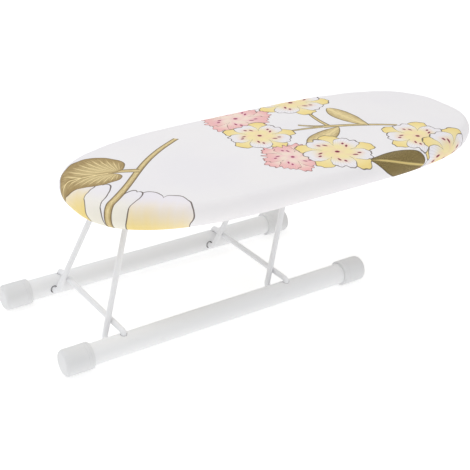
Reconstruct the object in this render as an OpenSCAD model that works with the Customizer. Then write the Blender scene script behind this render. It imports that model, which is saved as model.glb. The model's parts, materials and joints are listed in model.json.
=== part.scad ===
// Table-top ironing board with folding wire legs.
// Lengths are in millimetres. +X runs along the board towards its nose, +Y to the rear, +Z up.
// The origin is on the table, under the centre of the whole board's outline box.

/* [Feet] */
// Outer diameter of the two foot tubes
tube_d = 22; // [20:1:24]
// Wall thickness of the foot tubes
tube_wall = 1; // [0.8:0.1:1.5]
// Length of a foot over both of its end caps
foot_len = 360; // [330:5:380]
// Distance between the centrelines of the two foot tubes
foot_spacing = 142; // [130:2:150]

/* [End caps] */
// Outer diameter of a plastic end cap
cap_d = 27; // [26:0.5:28]
// Length of an end cap
cap_len = 29; // [26:1:34]
// Thickness of a cap's closed end
cap_end_t = 3; // [2:0.5:4]
// Radius of the rounded edge at a cap's closed end
cap_round = 4; // [2:0.5:5]
// Height moulded off the underside of a cap to give it a flat sole
sole_cut = 0.4; // [0.2:0.1:0.8]

/* [Wire legs] */
// Diameter of the leg and cross-bar wire
wire_d = 6; // [5:0.5:6]
// Distance along X between the two leg pivots
leg_pitch = 194; // [180:2:210]
// Distance of the left leg pivot from the left end of the feet
pivot_inset = 53.5; // [45:0.5:70]
// Angle that a leg leans to the right in use
leg_lean = 21; // [15:1:25]
// Straight length of a leg's side rods
side_rod_len = 112.5; // [105:0.5:125]
// Straight length of a leg's top bar
top_bar_len = 44.8; // [42:0.2:48]
// Angle of each of a leg's bends
leg_bend = 78; // [76:1:80]
// Straight length of the pivot pins at a leg's two ends
pin_len = 8; // [6:0.5:9]
// Centreline radius of a leg's bends
leg_bend_r = 6.5; // [6:0.5:7]
// Diameter of the pivot holes in the tubes' inner sides
pivot_hole_d = 7.5; // [6.5:0.1:8]

/* [Cross bars] */
// Distance of each cross bar to the right of its leg's pivot
bar_offset = 12.2; // [12:0.1:16]
// Gap between a cross bar and the top of the tubes
bar_lift = 0.1; // [0:0.1:0.4]
// How far a bar's bent tip reaches below the top of the tube
bar_tip_depth = 8; // [5:0.5:10]

/* [Board] */
// Length of the board over its cover
board_len = 492; // [450:2:520]
// Width of the board over its cover
board_w = 205; // [190:1:220]
// Thickness of the board over its cover
board_t = 24.5; // [22:0.5:28]
// Length of each tapering, rounded end of the board
end_len = 199; // [150:1:220]
// Fullness of the ends: 2 is an ellipse, higher is squarer
end_power = 2.6; // [2:0.1:3.2]
// How far the rounded rim steps in at the top and bottom
rim_inset = 9; // [5:0.5:12]
// Thickness of the cotton cover
cover_t = 1; // [0.8:0.1:1.5]
// How far the cover's hem wraps in under the board
hem_w = 25; // [20:1:30]
// Thickness of the board panel
panel_t = 12; // [9:0.5:15]
// How far the panel's edge lies inside the cover's edge
panel_inset = 8; // [6:0.5:12]
// Diameter of the elastic in the hem
elastic_d = 2.4; // [2:0.1:3]

/* [Leg clips] */
// Width of a saddle clip along the wire
clip_w = 10; // [8:0.5:12]
// Sheet thickness of a saddle clip
clip_t = 1.2; // [1:0.1:1.5]
// Half-length of a clip over its two flanges
clip_half = 12.5; // [11.5:0.5:14]
// Distance of each clip from the board's centreline
clip_y = 13; // [11:0.5:15]
// Radial clearance round the wire in its clips
clip_play = 0.25; // [0.1:0.05:0.4]
// Shank diameter of the clip screws
screw_d = 2.9; // [2.5:0.1:3.1]
// Shank length of the clip screws
screw_len = 9; // [7:0.5:10]
// Head diameter of the clip screws
screw_head_d = 6; // [5:0.1:6.4]
// Head height of the clip screws
screw_head_h = 1.8; // [1.4:0.1:2.2]

/* [Hidden] */
$fn = 64;
eps = 0.01;
hair = 0.01;
lap = 0.05;
fit_gap = 0.05;
bar_hole_play = 0.15;
soft_gap = 0.1;

tube_r = tube_d / 2;
tube_bore_r = tube_r - tube_wall;
wire_r = wire_d / 2;
cap_r = cap_d / 2;
axis_z = cap_r - sole_cut;
foot_y = foot_spacing / 2;

// The feet start at the left end of the outline box, and the board's nose ends it.
total_len = 542;
foot_x0 = -total_len / 2;
foot_x1 = foot_x0 + foot_len;
board_xc = total_len / 2 - board_len / 2;

pivot_left_x = foot_x0 + pivot_inset;
pivot_right_x = pivot_left_x + leg_pitch;
leg_len = side_rod_len * sin(leg_bend) + 2 * leg_bend_r * (1 - cos(leg_bend));
pin_tip_y = top_bar_len / 2 + side_rod_len * cos(leg_bend) + 2 * leg_bend_r * sin(leg_bend) + pin_len;
leg_run = leg_len * sin(leg_lean);
leg_top_z = axis_z + leg_len * cos(leg_lean);

bar_bend_r = 3.5;

panel_z = leg_top_z + wire_r + clip_play;
cover_z = panel_z - cover_t;
board_mid_z = cover_z + board_t / 2;
saddle_r = wire_r + clip_play;
screw_x = (saddle_r + clip_t + clip_half) / 2;
outline_n = 64;
elastic_n = 6;
rim_angles = [90, 75, 60, 40, 20, 0, -20, -40, -60, -75, -90];

white_paint = "whitesmoke";
white_plastic = "white";

// ---- helpers ----

// A power of a sine or cosine that keeps its sign
function shaped(v) = sign(v) * pow(abs(v), 2 / end_power);

// The board's outline, drawn in by inset: two rounded ends and a short straight part between them
function outline(inset) =
    [for (i = [0 : outline_n - 1])
        let (a = 360 * i / outline_n,
             c = abs(cos(a)) < eps ? 0 : cos(a),
             s = abs(sin(a)) < eps ? 0 : sin(a))
        [board_xc + sign(c) * (board_len / 2 - end_len) + (end_len - inset) * shaped(c),
         (board_w / 2 - inset) * shaped(s)]];

// One ring of points: the outline at an inset and a height
function ring(p) = [for (q = outline(p[0])) [q[0], q[1], p[1]]];

// The rounded rim as [inset, height] pairs from top to bottom, set in by a layer's depth
function rim(depth) =
    [for (a = rim_angles)
        [depth + rim_inset * (1 - cos(a)), board_mid_z + (board_t / 2 - depth) * sin(a)]];

// A closed solid through a chain of rings, capped by its first and its last ring
module ring_solid(chain) {
    n = outline_n;
    m = len(chain);
    points = [for (p = chain) each ring(p)];
    sides = [for (j = [0 : m - 2], i = [0 : n - 1])
        let (k = (i + 1) % n)
        each [[j * n + i, j * n + k, (j + 1) * n + i], [j * n + k, (j + 1) * n + k, (j + 1) * n + i]]];
    first = [for (i = [n - 1 : -1 : 0]) i];
    last = [for (i = [0 : n - 1]) (m - 1) * n + i];
    polyhedron(points = points, faces = concat([first], sides, [last]), convexity = 6);
}

// A wire that starts along +X and goes through a list of [straight length, turn to the left] steps.
// Its straights are a hair thinner than its bends and reach a little way into them.
module wire(steps, r, start = 0) {
    last = len(steps) == 1;
    translate([-start, 0, 0]) rotate([0, 90, 0])
        cylinder(h = start + steps[0][0] + (last ? 0 : lap), r = wire_r - hair);
    if (!last) {
        turn = steps[0][1];
        side = turn > 0 ? r : -r;
        translate([steps[0][0], side, 0]) {
            mirror([0, turn > 0 ? 0 : 1, 0]) rotate([0, 0, -90])
                rotate_extrude(angle = abs(turn)) translate([r, 0]) circle(r = wire_r);
            rotate([0, 0, turn]) translate([0, -side, 0])
                wire([for (i = [1 : len(steps) - 1]) steps[i]], r, lap);
        }
    }
}

// Stands a drawing-plane shape up in the YZ plane
module upright() {
    rotate([90, 0, 90]) children();
}

// ---- feet ----

module foot_tube(side) {
    length = foot_len - 2 * cap_end_t;
    color(white_paint)
    difference() {
        translate([foot_x0 + cap_end_t, side * foot_y, axis_z]) rotate([0, 90, 0])
            cylinder(h = length, r = tube_r);
        translate([foot_x0 + cap_end_t - 1, side * foot_y, axis_z]) rotate([0, 90, 0])
            cylinder(h = length + 2, r = tube_bore_r);
        for (x = [pivot_left_x, pivot_right_x]) {
            translate([x, side * (foot_y - tube_r - 1), axis_z]) rotate([-90 * side, 0, 0])
                cylinder(h = tube_wall + 4, r = pivot_hole_d / 2);
            translate([x + bar_offset, side * foot_y, axis_z + tube_r - 4])
                cylinder(h = 6, r = wire_r + bar_hole_play);
        }
    }
}

// A cap whose closed end points to -X, with its open end at x = cap_len
module cap_body() {
    difference() {
        union() {
            translate([cap_round, 0, 0]) rotate([0, 90, 0]) cylinder(h = cap_len - cap_round - 1, r = cap_r);
            rotate([0, 90, 0]) cylinder(h = cap_len, r = cap_r - cap_round);
            translate([cap_round, 0, 0]) rotate([0, 90, 0])
                rotate_extrude() translate([cap_r - cap_round, 0]) circle(r = cap_round);
            // rolled lip at the open end
            translate([cap_len - 1, 0, 0]) rotate([0, 90, 0])
                rotate_extrude() translate([cap_r - 1, 0]) circle(r = 1);
            translate([cap_len - 1, 0, 0]) rotate([0, 90, 0]) cylinder(h = 1, r = cap_r - 1);
        }
        translate([cap_end_t, 0, 0]) rotate([0, 90, 0]) cylinder(h = cap_len, r = tube_r + fit_gap);
        translate([-1, -cap_r, -cap_r - 1]) cube([cap_len + 2, cap_d, 1 + sole_cut]);
        // two shallow grip grooves near the open end
        for (x = [3.5, 6.5])
            translate([cap_len - x, 0, 0]) rotate([0, 90, 0])
                rotate_extrude() translate([cap_r + 0.25, 0]) circle(r = 0.5);
    }
}

module foot_cap(side, end) {
    color(white_plastic)
    translate([end < 0 ? foot_x0 : foot_x1, side * foot_y, axis_z])
        if (end < 0) cap_body();
        else mirror([1, 0, 0]) cap_body();
}

// ---- wire work ----

// A bar across both tubes with its ends bent down into their top holes
module cross_bar(x) {
    tip = bar_tip_depth + bar_lift + wire_r - bar_bend_r;
    color(white_paint)
    translate([x, -foot_y, axis_z + tube_r - bar_tip_depth]) upright() rotate([0, 0, 90])
        wire([[tip, -90], [foot_spacing - 2 * bar_bend_r, -90], [tip, 0]], bar_bend_r);
}

// A leg: pin, side rod, top bar, side rod, pin
module leg_wire(pivot_x) {
    color(white_paint)
    translate([pivot_x, -pin_tip_y, axis_z]) rotate([0, leg_lean, 0]) upright()
        wire([[pin_len, leg_bend], [side_rod_len, -leg_bend], [top_bar_len, -leg_bend],
              [side_rod_len, leg_bend], [pin_len, 0]], leg_bend_r);
}

// ---- clips under the panel ----

module clip(pivot_x, side) {
    color("silver")
    translate([pivot_x + leg_run, side * clip_y - clip_w / 2, leg_top_z]) {
        difference() {
            rotate([-90, 0, 0]) cylinder(h = clip_w, r = saddle_r + clip_t);
            translate([0, -1, 0]) rotate([-90, 0, 0]) cylinder(h = clip_w + 2, r = saddle_r);
            translate([-clip_half, -1, 0]) cube([2 * clip_half, clip_w + 2, clip_half]);
        }
        for (s = [-1, 1]) {
            translate([s * (saddle_r + clip_t / 2) - clip_t / 2, 0, -eps])
                cube([clip_t, clip_w, saddle_r + eps]);
            difference() {
                translate([s < 0 ? -clip_half : saddle_r, 0, saddle_r - clip_t])
                    cube([clip_half - saddle_r, clip_w, clip_t]);
                translate([s * screw_x, clip_w / 2, saddle_r - clip_t - 1])
                    cylinder(h = clip_t + 2, r = screw_d / 2 + 0.15);
            }
        }
    }
}

module screw() {
    difference() {
        union() {
            cylinder(h = screw_head_h, d = screw_head_d);
            cylinder(h = screw_head_h + screw_len, d = screw_d);
        }
        for (a = [0, 90])
            rotate([0, 0, a]) translate([-1.6, -0.35, -1]) cube([3.2, 0.7, 1.9]);
    }
}

module clip_screws(pivot_x) {
    color("darkgray")
    for (s = [-1, 1], side = [-1, 1])
        translate([pivot_x + leg_run + s * screw_x, side * clip_y, panel_z - clip_t - screw_head_h])
            screw();
}

// ---- board ----

module board_panel() {
    color("linen")
    difference() {
        translate([0, 0, panel_z]) linear_extrude(panel_t) polygon(outline(panel_inset));
        for (x = [pivot_left_x, pivot_right_x], s = [-1, 1], side = [-1, 1])
            translate([x + leg_run + s * screw_x, side * clip_y, panel_z - 1])
                cylinder(h = screw_len + 1, r = screw_d / 2 + fit_gap);
    }
}

module foam_pad() {
    outer = rim(cover_t + soft_gap);
    color("lightyellow")
    ring_solid(concat([for (j = [0 : len(outer) - 2]) outer[j]],
        [[panel_inset - soft_gap, panel_z + panel_t + soft_gap]]));
}

module cover() {
    outer = rim(0);
    inner = rim(cover_t);
    last = len(rim_angles) - 1;
    color("ivory")
    ring_solid(concat(outer,
        [[hem_w, cover_z], [hem_w, panel_z - soft_gap]],
        [[panel_inset, panel_z - soft_gap]],
        [for (j = [last - 1 : -1 : 0]) inner[j]]));
}

module hem_elastic() {
    color("beige")
    ring_loop([for (k = [0 : elastic_n - 1])
        [hem_w + soft_gap + elastic_d / 2 * (1 + cos(360 * (k + 0.5) / elastic_n)),
         panel_z - soft_gap - elastic_d / 2 * (1 - sin(360 * (k + 0.5) / elastic_n))]]);
}

// A closed loop with the given section, running round the board's outline
module ring_loop(section) {
    n = outline_n;
    m = len(section);
    points = [for (p = section) each ring(p)];
    faces = [for (j = [0 : m - 1], i = [0 : n - 1])
        let (k = (i + 1) % n, l = (j + 1) % m)
        each [[j * n + i, l * n + i, j * n + k], [j * n + k, l * n + i, l * n + k]]];
    polyhedron(points = points, faces = faces, convexity = 6);
}

foot_tube(-1);  // foot_tube_front
foot_tube(1);  // foot_tube_rear
foot_cap(-1, -1);  // foot_cap_front_left
foot_cap(-1, 1);  // foot_cap_front_right
foot_cap(1, -1);  // foot_cap_rear_left
foot_cap(1, 1);  // foot_cap_rear_right
cross_bar(pivot_left_x + bar_offset);  // cross_bar_left
cross_bar(pivot_right_x + bar_offset);  // cross_bar_right
leg_wire(pivot_left_x);  // leg_wire_left
leg_wire(pivot_right_x);  // leg_wire_right
clip(pivot_left_x, -1);  // clip_left_front
clip(pivot_left_x, 1);  // clip_left_rear
clip(pivot_right_x, -1);  // clip_right_front
clip(pivot_right_x, 1);  // clip_right_rear
clip_screws(pivot_left_x);  // clip_screws_left
clip_screws(pivot_right_x);  // clip_screws_right
board_panel();
foam_pad();
cover();
hem_elastic();
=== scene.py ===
"""Table-top ironing board: printed cotton cover, sponge pad and hem elastic on a folding wire frame."""

import json
import math

import bpy
import numpy as np
from mathutils import Matrix, Vector


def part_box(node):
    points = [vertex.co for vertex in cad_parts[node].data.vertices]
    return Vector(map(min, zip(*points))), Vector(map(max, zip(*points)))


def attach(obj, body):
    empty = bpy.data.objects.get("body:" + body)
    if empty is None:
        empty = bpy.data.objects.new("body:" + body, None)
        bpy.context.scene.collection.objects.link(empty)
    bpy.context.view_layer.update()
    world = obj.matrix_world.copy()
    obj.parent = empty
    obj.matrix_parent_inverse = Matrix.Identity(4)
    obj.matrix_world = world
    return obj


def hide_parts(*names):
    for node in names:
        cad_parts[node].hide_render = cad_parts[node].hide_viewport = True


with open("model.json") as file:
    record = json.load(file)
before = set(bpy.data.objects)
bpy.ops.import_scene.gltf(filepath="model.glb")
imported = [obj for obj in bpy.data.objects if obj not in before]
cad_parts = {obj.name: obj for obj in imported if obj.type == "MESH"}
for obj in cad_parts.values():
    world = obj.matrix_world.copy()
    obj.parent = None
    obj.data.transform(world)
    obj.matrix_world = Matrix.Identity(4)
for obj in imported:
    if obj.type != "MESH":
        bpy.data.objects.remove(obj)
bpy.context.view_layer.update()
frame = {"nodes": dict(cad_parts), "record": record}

MM = 0.001
TAU = 2 * math.pi


# ---------------------------------------------------------------- camera, floor and light

def add_camera():
    """Three-quarter view from the left end, a little above the board."""
    yaw, pitch, roll = math.radians(34.43), math.radians(27.05), math.radians(1.35)
    forward = Vector((math.sin(yaw) * math.cos(pitch), math.cos(yaw) * math.cos(pitch), -math.sin(pitch)))
    right = Vector((math.cos(yaw), -math.sin(yaw), 0))
    up = right.cross(forward)
    level = Matrix((right, up, -forward)).transposed()
    data = bpy.data.cameras.new("camera")
    data.lens = 79.5
    data.sensor_width = 36
    camera = bpy.data.objects.new("camera", data)
    tilt = level.to_4x4() @ Matrix.Rotation(roll, 4, "Z")
    camera.matrix_world = Matrix.Translation((-0.597, -0.828, 0.566)) @ tilt
    bpy.context.scene.collection.objects.link(camera)
    bpy.context.scene.camera = camera


def add_floor():
    """A plain white floor that gives some light of its own, so that shadows stay faint."""
    bpy.ops.object.select_all(action="DESELECT")
    bpy.ops.mesh.primitive_plane_add(size=40, location=(0, 0, -0.0003))
    floor = bpy.context.object
    floor.name = "floor"
    material = bpy.data.materials.new("pale floor")
    material.use_nodes = True
    shader = material.node_tree.nodes["Principled BSDF"]
    shader.inputs["Base Color"].default_value = (0.8, 0.8, 0.8, 1)
    shader.inputs["Roughness"].default_value = 0.9
    shader.inputs["Specular IOR Level"].default_value = 0.1
    shader.inputs["Emission Color"].default_value = (1, 1, 1, 1)
    shader.inputs["Emission Strength"].default_value = 0.42
    floor.data.materials.append(material)


def add_area(name, place, target, size, power, colour=(1, 1, 1)):
    data = bpy.data.lights.new(name, "AREA")
    data.shape = "DISK"
    data.size = size
    data.energy = power
    data.color = colour
    light = bpy.data.objects.new(name, data)
    light.location = place
    light.rotation_euler = (Vector(target) - Vector(place)).to_track_quat("-Z", "Y").to_euler()
    bpy.context.scene.collection.objects.link(light)


def add_light():
    scene = bpy.context.scene
    world = bpy.data.worlds.new("soft room")
    world.use_nodes = True
    tree = world.node_tree
    place = tree.nodes.new("ShaderNodeTexCoord")
    height = tree.nodes.new("ShaderNodeSeparateXYZ")
    glow = tree.nodes.new("ShaderNodeMapRange")
    glow.inputs["To Min"].default_value = 0.48
    glow.inputs["To Max"].default_value = 0.88
    tree.links.new(place.outputs["Generated"], height.inputs[0])
    tree.links.new(height.outputs["Z"], glow.inputs["Value"])
    tree.links.new(glow.outputs[0], tree.nodes["Background"].inputs["Strength"])
    tree.nodes["Background"].inputs["Color"].default_value = (0.985, 0.995, 1, 1)
    scene.world = world
    scene.view_settings.view_transform = "Standard"
    add_area("key softbox", (-0.9, 0.7, 2.2), (0, 0, 0.1), 1.8, 12)
    add_area("front softbox", (0.5, -1.4, 1.8), (0, 0, 0.1), 1.4, 2.6)


add_camera()
add_floor()
add_light()


# ---------------------------------------------------------------- node tools

def srgb(red, green, blue):
    """A paint-chart colour, 0 to 255, as a linear colour."""
    def linear(c):
        c /= 255
        return c / 12.92 if c <= 0.04045 else ((c + 0.055) / 1.055) ** 2.4
    return (linear(red), linear(green), linear(blue), 1)


class Wiring:
    """Short calls that add nodes to a tree and link them."""

    def __init__(self, tree):
        self.tree = tree

    def put(self, socket, value):
        if value is None:
            return
        if isinstance(value, bpy.types.NodeSocket):
            self.tree.links.new(value, socket)
        else:
            socket.default_value = value

    def node(self, kind, **settings):
        node = self.tree.nodes.new(kind)
        for name, value in settings.items():
            setattr(node, name, value)
        return node

    def math(self, operation, a, b=None, c=None):
        node = self.node("ShaderNodeMath", operation=operation)
        for socket, value in zip(node.inputs, (a, b, c)):
            self.put(socket, value)
        return node.outputs[0]

    def vector(self, operation, a, b=None, scale=None):
        node = self.node("ShaderNodeVectorMath", operation=operation)
        self.put(node.inputs[0], a)
        self.put(node.inputs[1], b)
        if scale is not None:
            self.put(node.inputs["Scale"], scale)
        return node.outputs["Value" if operation in ("LENGTH", "DOT_PRODUCT") else "Vector"]

    def parts(self, vector):
        node = self.node("ShaderNodeSeparateXYZ")
        self.put(node.inputs[0], vector)
        return node.outputs[0], node.outputs[1], node.outputs[2]

    def join(self, x, y, z=0.0):
        node = self.node("ShaderNodeCombineXYZ")
        for socket, value in zip(node.inputs, (x, y, z)):
            self.put(socket, value)
        return node.outputs[0]

    def mix(self, amount, a, b, blend="MIX"):
        node = self.node("ShaderNodeMix", data_type="RGBA", blend_type=blend)
        self.put(node.inputs[0], amount)
        self.put(node.inputs[6], a)
        self.put(node.inputs[7], b)
        return node.outputs[2]

    def ramp(self, value, low, high, out_low=0.0, out_high=1.0, smooth=True):
        node = self.node("ShaderNodeMapRange", interpolation_type="SMOOTHSTEP" if smooth else "LINEAR")
        for socket, number in zip(node.inputs, (value, low, high, out_low, out_high)):
            self.put(socket, number)
        return node.outputs[0]

    def noise(self, vector, scale, detail=2.0, roughness=0.5):
        node = self.node("ShaderNodeTexNoise")
        self.put(node.inputs["Vector"], vector)
        if scale is not None:
            self.put(node.inputs["Scale"], scale)
        self.put(node.inputs["Detail"], detail)
        self.put(node.inputs["Roughness"], roughness)
        return node.outputs[0]

    def group(self, tree, **values):
        node = self.node("ShaderNodeGroup")
        node.node_tree = tree
        for name, value in values.items():
            self.put(node.inputs[name.replace("_", " ")], value)
        return node


FLOAT, COLOUR, VECTOR = "NodeSocketFloat", "NodeSocketColor", "NodeSocketVector"


def new_group(name, inputs, outputs):
    """An empty node group with named sockets: (wiring, input sockets by name, output node)."""
    tree = bpy.data.node_groups.new(name, "ShaderNodeTree")
    for label, kind in inputs:
        tree.interface.new_socket(label, in_out="INPUT", socket_type=kind)
    for label, kind in outputs:
        tree.interface.new_socket(label, in_out="OUTPUT", socket_type=kind)
    start = tree.nodes.new("NodeGroupInput")
    end = tree.nodes.new("NodeGroupOutput")
    return Wiring(tree), start.outputs, end.inputs


def new_material(name):
    material = bpy.data.materials.new(name)
    material.use_nodes = True
    wiring = Wiring(material.node_tree)
    return material, wiring, material.node_tree.nodes["Principled BSDF"]


def object_place(wiring):
    return wiring.node("ShaderNodeTexCoord").outputs["Object"]


def bump(wiring, height, distance, strength=1.0, normal=None):
    node = wiring.node("ShaderNodeBump")
    node.inputs["Distance"].default_value = distance
    node.inputs["Strength"].default_value = strength
    wiring.put(node.inputs["Height"], height)
    wiring.put(node.inputs["Normal"], normal)
    return node.outputs["Normal"]


# ---------------------------------------------------------------- shared surface effects

def make_weave():
    """Plain weave: threads over and under, with slubs of uneven yarn."""
    w, given, out = new_group("plain weave", [("Place", VECTOR), ("Pitch", FLOAT), ("Slub", FLOAT)],
                              [("Height", FLOAT), ("Shade", FLOAT)])
    x, y, _ = w.parts(given["Place"])
    turns = w.math("DIVIDE", math.pi, given["Pitch"])
    warp = w.math("SINE", w.math("MULTIPLY", x, turns))
    weft = w.math("SINE", w.math("MULTIPLY", y, turns))
    over = w.math("MULTIPLY", warp, weft)
    along = w.noise(w.vector("MULTIPLY", given["Place"], (60.0, 1400.0, 60.0)), 1.0)
    across = w.noise(w.vector("MULTIPLY", given["Place"], (1400.0, 60.0, 60.0)), 1.0)
    slub = w.math("MULTIPLY", w.math("ADD", along, across), given["Slub"])
    w.put(out["Height"], w.math("ADD", w.math("MULTIPLY", over, over), slub))
    w.put(out["Shade"], w.math("SUBTRACT", 1.0, w.math("MULTIPLY", slub, 0.12)))
    return w.tree


def make_powder_coat():
    """Sprayed and baked coating: fine orange peel, slow swings in gloss, and rubbed dull patches."""
    w, given, out = new_group("powder coat", [("Place", VECTOR), ("Colour", COLOUR), ("Rub", COLOUR),
                                              ("Gloss", FLOAT)],
                              [("Colour", COLOUR), ("Roughness", FLOAT), ("Height", FLOAT)])
    peel = w.noise(given["Place"], 900.0, 2.0)
    drift = w.noise(given["Place"], 14.0, 3.0)
    rub = w.ramp(w.noise(w.vector("MULTIPLY", given["Place"], (1.0, 3.0, 3.0)), 45.0, 4.0, 0.6), 0.60, 0.75)
    w.put(out["Colour"], w.mix(w.math("MULTIPLY", rub, 0.12), given["Colour"], given["Rub"]))
    rough = w.math("ADD", given["Gloss"], w.math("MULTIPLY", drift, 0.14))
    w.put(out["Roughness"], w.math("ADD", rough, w.math("MULTIPLY", rub, 0.10)))
    w.put(out["Height"], peel)
    return w.tree


def make_bright_metal():
    """Zinc-plated sheet: rolling lines and cloudy plating."""
    w, given, out = new_group("bright zinc", [("Place", VECTOR), ("Light", COLOUR), ("Dark", COLOUR)],
                              [("Colour", COLOUR), ("Roughness", FLOAT), ("Height", FLOAT)])
    lines = w.noise(w.vector("MULTIPLY", given["Place"], (300.0, 4000.0, 4000.0)), 1.0, 3.0)
    cloud = w.noise(given["Place"], 120.0, 3.0)
    w.put(out["Colour"], w.mix(w.ramp(cloud, 0.35, 0.7), given["Light"], given["Dark"]))
    w.put(out["Roughness"], w.ramp(lines, 0.2, 0.8, 0.24, 0.46, smooth=False))
    w.put(out["Height"], lines)
    return w.tree


WEAVE = make_weave()
POWDER_COAT = make_powder_coat()
BRIGHT_ZINC = make_bright_metal()


# ---------------------------------------------------------------- the print: blossoms, leaves and stems

LINE_HALF = 0.0006


def motif_frame(w, given, start):
    """Places a point along and beside a motif's own axis: (offset, along, side)."""
    offset = w.vector("SUBTRACT", given["Place"], given[start])
    x, y, _ = w.parts(offset)
    cosine, sine = w.math("COSINE", given["Turn"]), w.math("SINE", given["Turn"])
    along = w.math("ADD", w.math("MULTIPLY", x, cosine), w.math("MULTIPLY", y, sine))
    side = w.math("SUBTRACT", w.math("MULTIPLY", y, cosine), w.math("MULTIPLY", x, sine))
    return offset, along, side


def bowed(w, u, bend):
    """How far a motif's middle line bows aside at a share u of its length, most at its half."""
    rise = w.math("MULTIPLY", u, w.math("SUBTRACT", 1.0, u))
    return w.math("MULTIPLY", rise, w.math("MULTIPLY", bend, 4.0))


def inked(w, given, colour, edge, limit, under):
    """Lays a motif over what is under it, where edge, in metres, is above nought, and draws its outline."""
    inside = w.math("MULTIPLY", w.math("GREATER_THAN", edge, 0.0), limit)
    line = w.ramp(w.math("ABSOLUTE", edge), LINE_HALF * 0.6, LINE_HALF * 1.4, 0.95, 0.0)
    line = w.math("MULTIPLY", line, limit)
    return w.mix(line, w.mix(inside, under, colour), given["Line"])


def handed_on(w, given, out, colour):
    """Gives the motif's colour, and the place again for the next motif.

    The place goes on through the colour, by a billionth of it, so that the motifs are worked out one
    after another. All at once, they need more working memory than a material has.
    """
    w.put(out["Colour"], colour)
    w.put(out["Place"], w.vector("ADD", given["Place"], w.vector("SCALE", colour, None, 1e-9)))
    return w.tree


def make_blossom():
    """A double blossom: five blunt petals over five pointed ones, thin drawn outlines and dotted throats."""
    w, given, out = new_group(
        "blossom",
        [("Place", VECTOR), ("Centre", VECTOR), ("Turn", FLOAT), ("Radius", FLOAT), ("Frill", FLOAT),
         ("Tip", COLOUR), ("Heart", COLOUR), ("Back", COLOUR), ("Line", COLOUR), ("Dot", COLOUR),
         ("Flush", COLOUR), ("Under", COLOUR)],
        [("Colour", COLOUR), ("Place", VECTOR)])
    petals = 5
    offset, along, beside = motif_frame(w, given, "Centre")
    r = w.math("DIVIDE", w.vector("LENGTH", w.join(along, beside)), given["Radius"])
    angle = w.math("ARCTAN2", beside, along)
    cell = w.math("ADD", w.math("MULTIPLY", angle, petals / TAU), 0.5)
    seed = w.vector("ADD", offset, w.vector("MULTIPLY", given["Centre"], (31.0, 31.0, 0.0)))
    wobble = w.math("SUBTRACT", w.noise(seed, 80.0, 1.0), 0.5)
    wobble = w.math("MULTIPLY", wobble, w.math("ADD", given["Frill"], 0.14))
    ruffle = w.math("SINE", w.math("MULTIPLY", angle, 30.0))
    ruffle = w.math("MULTIPLY", ruffle, w.math("MULTIPLY", given["Frill"], 0.22))
    frill = w.math("ADD", wobble, ruffle)

    across = w.math("SUBTRACT", w.math("FRACT", cell), 0.5)
    side = w.math("MULTIPLY", w.math("ABSOLUTE", across), 2.0)
    notch = w.math("MULTIPLY", w.ramp(side, 0.0, 0.22, 1.0, 0.0), 0.05)
    falling = w.math("MULTIPLY", w.math("POWER", side, 3.2), 0.48)
    front_edge = w.math("SUBTRACT", w.math("SUBTRACT", 0.86, notch), falling)
    front = w.math("SUBTRACT", w.math("ADD", front_edge, frill), r)
    between = w.math("SUBTRACT", 1.0, side)
    back_edge = w.math("SUBTRACT", 1.0, w.math("MULTIPLY", w.math("POWER", between, 2.2), 0.75))
    back = w.math("SUBTRACT", w.math("ADD", back_edge, frill), r)

    reach_across = w.math("MULTIPLY", across, w.math("MULTIPLY", r, TAU / petals))
    dot_side = w.math("SUBTRACT", w.math("ABSOLUTE", reach_across), 0.065)
    dot_ring = w.math("ADD", 0.49, w.math("MULTIPLY", across, 0.4))
    dot_up = w.math("MULTIPLY", w.math("SUBTRACT", r, dot_ring), 0.7)
    reach = w.vector("LENGTH", w.join(dot_side, dot_up))
    reach = w.math("MINIMUM", reach, w.math("MULTIPLY", r, 0.6))
    dot = w.ramp(reach, 0.028, 0.042, 1.0, 0.0)
    flush = w.ramp(reach, 0.02, 0.15, 0.42, 0.0)

    veins = w.math("POWER", w.math("ABSOLUTE", w.math("SINE", w.math("MULTIPLY", angle, 32.5))), 14.0)
    veins = w.math("MULTIPLY", w.math("MULTIPLY", veins, w.ramp(r, 0.25, 0.6)), 0.14)
    colour = w.mix(w.ramp(r, 0.30, 0.74), given["Heart"], given["Tip"])
    colour = w.mix(flush, w.mix(veins, colour, given["Line"]), given["Flush"])
    colour = w.mix(dot, colour, given["Dot"])
    cleft = w.math("MULTIPLY", w.math("SUBTRACT", 1.0, side), w.math("MULTIPLY", r, math.pi / petals))
    cleft = w.math("MULTIPLY", cleft, given["Radius"])
    parted = w.ramp(cleft, LINE_HALF * 0.3, LINE_HALF * 1.1, 0.6, 0.0)
    parted = w.math("MULTIPLY", parted, w.ramp(r, 0.32, 0.42))
    colour = w.mix(parted, colour, given["Line"])

    behind = w.mix(w.ramp(r, 0.5, 1.0), given["Heart"], given["Back"])
    behind = inked(w, given, behind, w.math("MULTIPLY", back, given["Radius"]), 1.0, given["Under"])
    colour = inked(w, given, colour, w.math("MULTIPLY", front, given["Radius"]), 1.0, behind)
    return handed_on(w, given, out, colour)


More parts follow.
